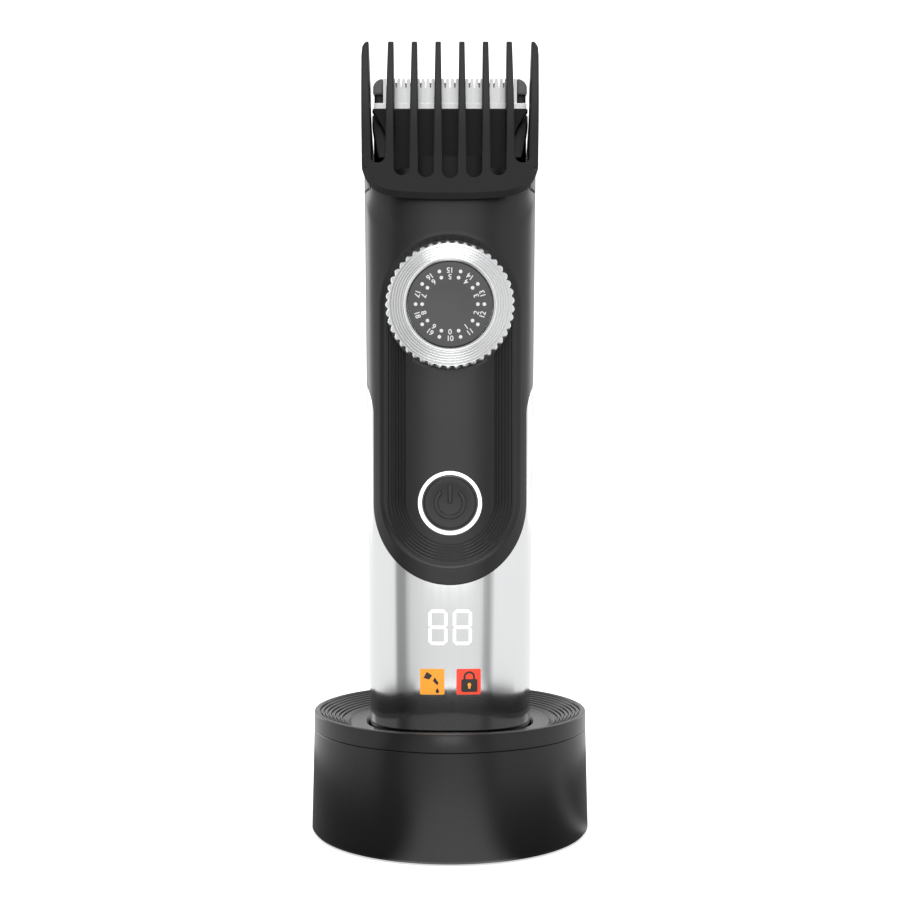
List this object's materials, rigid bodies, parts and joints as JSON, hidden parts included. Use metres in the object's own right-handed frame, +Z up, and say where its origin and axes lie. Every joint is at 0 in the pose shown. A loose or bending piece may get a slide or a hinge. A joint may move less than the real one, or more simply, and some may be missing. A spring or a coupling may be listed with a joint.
{
  "type": "beard trimmer with charging dock",
  "caption": "Cordless beard trimmer with a length dial, a push-button, a comb guard and a silver body, standing in a round charging dock.",
  "frame": {"origin": "middle of the dock's underside, on the surface it stands on", "axes": "+Z up along the trimmer; the front with the dial and button faces -Y; +X to the right as seen from the front"},
  "size_m": [0.067, 0.067, 0.188],
  "materials": {
    "black_plastic": "black satin moulded plastic with a fine grain",
    "comb_plastic": "black satin moulded plastic",
    "silver_shell": "satin silver shell, finely brushed",
    "dial_silver": "turned bright silver with fine rings",
    "dial_face": "dark grey face with white printed numbers",
    "blade_steel": "ground blade steel, brushed upright",
    "grey_plastic": "dark grey satin plastic",
    "rubber": "black rubber",
    "circuit_board": "green circuit board",
    "contact_gold": "gold plated contact",
    "plain_steel": "plain steel",
    "light_ring": "white lit light guide",
    "amber_lens": "amber lit lens",
    "red_lens": "red lit lens",
    "battery_wrap": "blue battery sleeve",
    "natural_plastic": "uncoloured moulded plastic"
  },
  "bodies": {
    "dock": {"dock_pad": "rubber", "dock_base_plate": "black_plastic", "dock_shell": "black_plastic", "dock_top_cap": "black_plastic", "dock_weight": "plain_steel", "dock_pcb": "circuit_board", "dock_inlet_socket": "plain_steel", "dock_contact_block": "natural_plastic", "dock_screw_front": "plain_steel", "dock_screw_right": "plain_steel", "dock_screw_left": "plain_steel"},
    "contact_pin_left": {"dock_contact_pin_left": "contact_gold", "dock_contact_spring_left": "plain_steel"},
    "contact_pin_right": {"dock_contact_pin_right": "contact_gold", "dock_contact_spring_right": "plain_steel"},
    "dial": {"dial_ring": "dial_silver", "dial_face": "dial_face", "dial_shaft": "plain_steel", "scroll_cam": "natural_plastic"},
    "carriage": {"comb_carriage": "grey_plastic"},
    "comb": {"comb_guard": "comb_plastic"},
    "button": {"power_button": "black_plastic"},
    "cutter": {"moving_cutter": "blade_steel", "cutter_driver": "natural_plastic"},
    "rotor": {"motor_shaft": "plain_steel", "motor_crank": "natural_plastic"},
    "trimmer": {"silver_sleeve": "silver_shell", "front_panel": "black_plastic", "rear_housing": "black_plastic", "bottom_cap": "black_plastic", "charge_contact_left": "contact_gold", "bottom_screw_left": "plain_steel", "charge_contact_right": "contact_gold", "bottom_screw_right": "plain_steel", "chassis": "natural_plastic", "main_pcb": "circuit_board", "display_module": "black_plastic", "oil_indicator_lens": "amber_lens", "lock_indicator_lens": "red_lens", "tact_switch": "black_plastic", "battery_cell": "battery_wrap", "battery_tab_bottom": "plain_steel", "battery_tab_top": "plain_steel", "motor_can": "plain_steel", "motor_mount": "grey_plastic", "power_light_ring": "light_ring", "button_membrane": "rubber", "dial_bush": "natural_plastic", "detent_spring": "plain_steel", "neck_seal": "rubber", "head_base": "black_plastic", "head_cover": "black_plastic", "blade_clamp": "blade_steel", "fixed_blade": "blade_steel", "blade_screw_left": "plain_steel", "blade_end_guard_left": "grey_plastic", "blade_screw_right": "plain_steel", "blade_end_guard_right": "grey_plastic", "cutter_spring": "plain_steel"}
  },
  "joints": [
    {"name": "trimmer_lift", "type": "slide", "parent": "dock", "child": "trimmer", "axis": [0, 0, 1], "range_m": [0, 0.06]},
    {"name": "dial_turn", "type": "hinge", "parent": "trimmer", "child": "dial", "pos_m": [0, -0.0149, 0.1257], "axis": [0, 1, 0], "range_deg": [0, 342]},
    {"name": "comb_travel", "type": "slide", "parent": "trimmer", "child": "carriage", "axis": [0, 0, 1], "range_m": [0, 0.0096]},
    {"name": "comb_release", "type": "slide", "parent": "carriage", "child": "comb", "axis": [0, 0, 1], "range_m": [0, 0.045]},
    {"name": "power_button_press", "type": "slide", "parent": "trimmer", "child": "button", "axis": [0, 1, 0], "range_m": [0, 0.0007], "stiffness_N_per_m": 900},
    {"name": "cutter_stroke", "type": "slide", "parent": "trimmer", "child": "cutter", "axis": [1, 0, 0], "range_m": [-0.0007, 0.0007]},
    {"name": "motor_spin", "type": "hinge", "parent": "trimmer", "child": "rotor", "pos_m": [0, 0.0042, 0.15], "axis": [0, 0, 1], "continuous": true},
    {"name": "contact_press_left", "type": "slide", "parent": "dock", "child": "contact_pin_left", "axis": [0, 0, 1], "range_m": [-0.0008, 0], "stiffness_N_per_m": 300, "deforming": ["dock_contact_spring_left"]},
    {"name": "contact_press_right", "type": "slide", "parent": "dock", "child": "contact_pin_right", "axis": [0, 0, 1], "range_m": [-0.0008, 0], "stiffness_N_per_m": 300, "deforming": ["dock_contact_spring_right"]}
  ],
  "couplings": [
    {"joint": "comb_travel", "follows": "dial_turn", "m_per_rad": 0.0015915}
  ]
}
